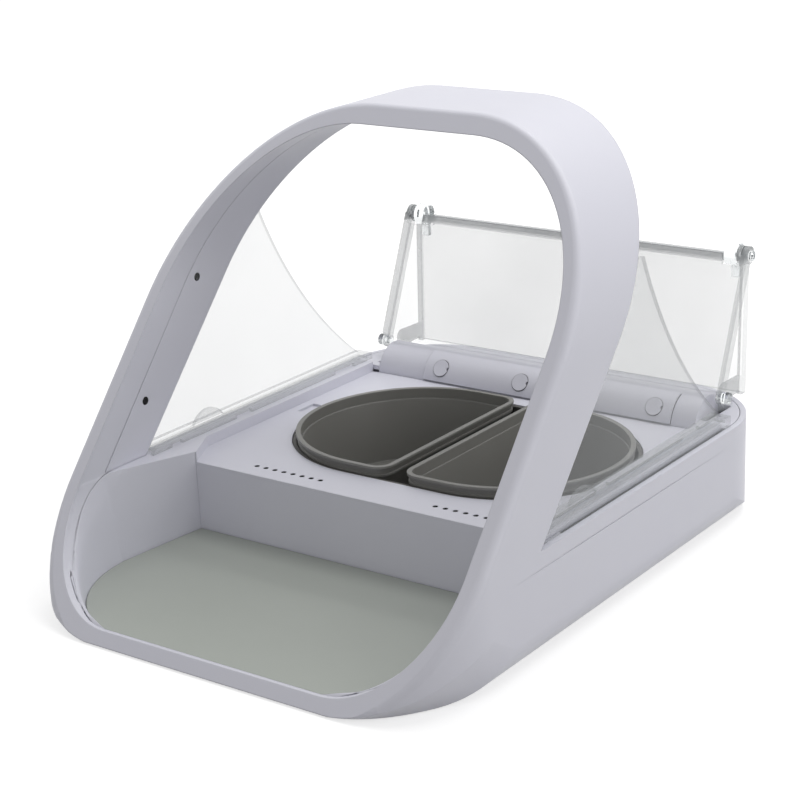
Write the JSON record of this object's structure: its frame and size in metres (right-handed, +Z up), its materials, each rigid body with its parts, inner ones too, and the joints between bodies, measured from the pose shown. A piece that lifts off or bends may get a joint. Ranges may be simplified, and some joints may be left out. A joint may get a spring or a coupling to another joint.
{
  "type": "microchip pet feeder",
  "caption": "Floor-standing pet feeder with a leaning reader hoop over a mat tray, half bowls in a rear well, clear side shields and a folding clear lid.",
  "frame": {"origin": "middle of the footprint, on the surface that the feeder stands on", "axes": "+X to the right seen from the hoop's side, +Y to the rear, +Z up"},
  "size_m": [0.23, 0.3153, 0.212],
  "materials": {
    "white_shell": "satin",
    "clear_plastic": "polished",
    "mat": "matte",
    "well_grey": "matte",
    "bowl_grey": "satin",
    "dark_window": "gloss",
    "copper_coil": "satin",
    "steel": "brushed",
    "brass_part": "satin",
    "cell_wrap": "gloss",
    "board_green": "matte",
    "button_grey": "matte",
    "lens": "polished",
    "rubber_pad": "matte"
  },
  "bodies": {
    "housing": {"housing_hoop": "white_shell", "hoop_cover": "white_shell", "reading_coil": "copper_coil", "sensor_windows": "dark_window", "tray_liner": "white_shell", "deck": "white_shell", "bowl_well": "well_grey", "shield_left": "clear_plastic", "shield_right": "clear_plastic", "motor": "steel", "drive_frame": "white_shell", "rear_cover": "white_shell", "drum_hatch": "white_shell", "screw_caps": "white_shell", "hatch_screws": "steel", "base_plate": "white_shell", "base_screws": "steel", "battery_box_left": "white_shell", "battery_box_right": "white_shell", "battery_cells": "cell_wrap", "battery_contacts": "steel", "circuit_board": "board_green", "buzzer": "dark_window", "indicator_light": "lens", "rubber_feet": "rubber_pad"},
    "lid_rear": {"lid_rear_panel": "clear_plastic", "fold_knuckles": "clear_plastic", "lid_shaft": "steel", "shaft_gear": "white_shell"},
    "lid_front": {"lid_front_panel": "clear_plastic", "edge_rollers": "clear_plastic"},
    "pinion": {"motor_pinion": "brass_part"},
    "mat": {"tray_mat": "mat"},
    "left_bowl": {"bowl_left": "bowl_grey"},
    "right_bowl": {"bowl_right": "bowl_grey"},
    "left_battery_cover": {"battery_cover_left": "white_shell"},
    "right_battery_cover": {"battery_cover_right": "white_shell"},
    "left_button": {"button_left": "button_grey"},
    "right_button": {"button_right": "button_grey"}
  },
  "joints": [
    {"name": "lid_rear_hinge", "type": "hinge", "parent": "housing", "child": "lid_rear", "pos_m": [0, 0.13, 0.044], "axis": [-1, 0, 0], "range_deg": [-91.55, 0]},
    {"name": "lid_fold_hinge", "type": "hinge", "parent": "lid_rear", "child": "lid_front", "pos_m": [0, 0.1482, 0.1253], "axis": [1, 0, 0], "range_deg": [-158.95, 0]},
    {"name": "pinion_spin", "type": "hinge", "parent": "housing", "child": "pinion", "pos_m": [-0.03, 0.118, 0.044], "axis": [-1, 0, 0], "range_deg": [0, 170.03]},
    {"name": "mat_lift", "type": "slide", "parent": "housing", "child": "mat", "axis": [0, 0, 1], "range_m": [0, 0.03]},
    {"name": "left_bowl_lift", "type": "slide", "parent": "housing", "child": "left_bowl", "axis": [0, 0, 1], "range_m": [0, 0.06]},
    {"name": "right_bowl_lift", "type": "slide", "parent": "housing", "child": "right_bowl", "axis": [0, 0, 1], "range_m": [0, 0.06]},
    {"name": "left_battery_cover_off", "type": "slide", "parent": "housing", "child": "left_battery_cover", "axis": [0, 0, -1], "range_m": [0, 0.02]},
    {"name": "right_battery_cover_off", "type": "slide", "parent": "housing", "child": "right_battery_cover", "axis": [0, 0, -1], "range_m": [0, 0.02]},
    {"name": "left_button_press", "type": "slide", "parent": "housing", "child": "left_button", "axis": [0, -1, 0], "range_m": [0, 0.001], "stiffness_N_per_m": 400, "springref_m": -0.0005},
    {"name": "right_button_press", "type": "slide", "parent": "housing", "child": "right_button", "axis": [0, -1, 0], "range_m": [0, 0.001], "stiffness_N_per_m": 400, "springref_m": -0.0005}
  ],
  "couplings": [
    {"joint": "lid_fold_hinge", "follows": "lid_rear_hinge", "ratio": 1.7361},
    {"joint": "pinion_spin", "follows": "lid_rear_hinge", "ratio": -1.8571}
  ]
}
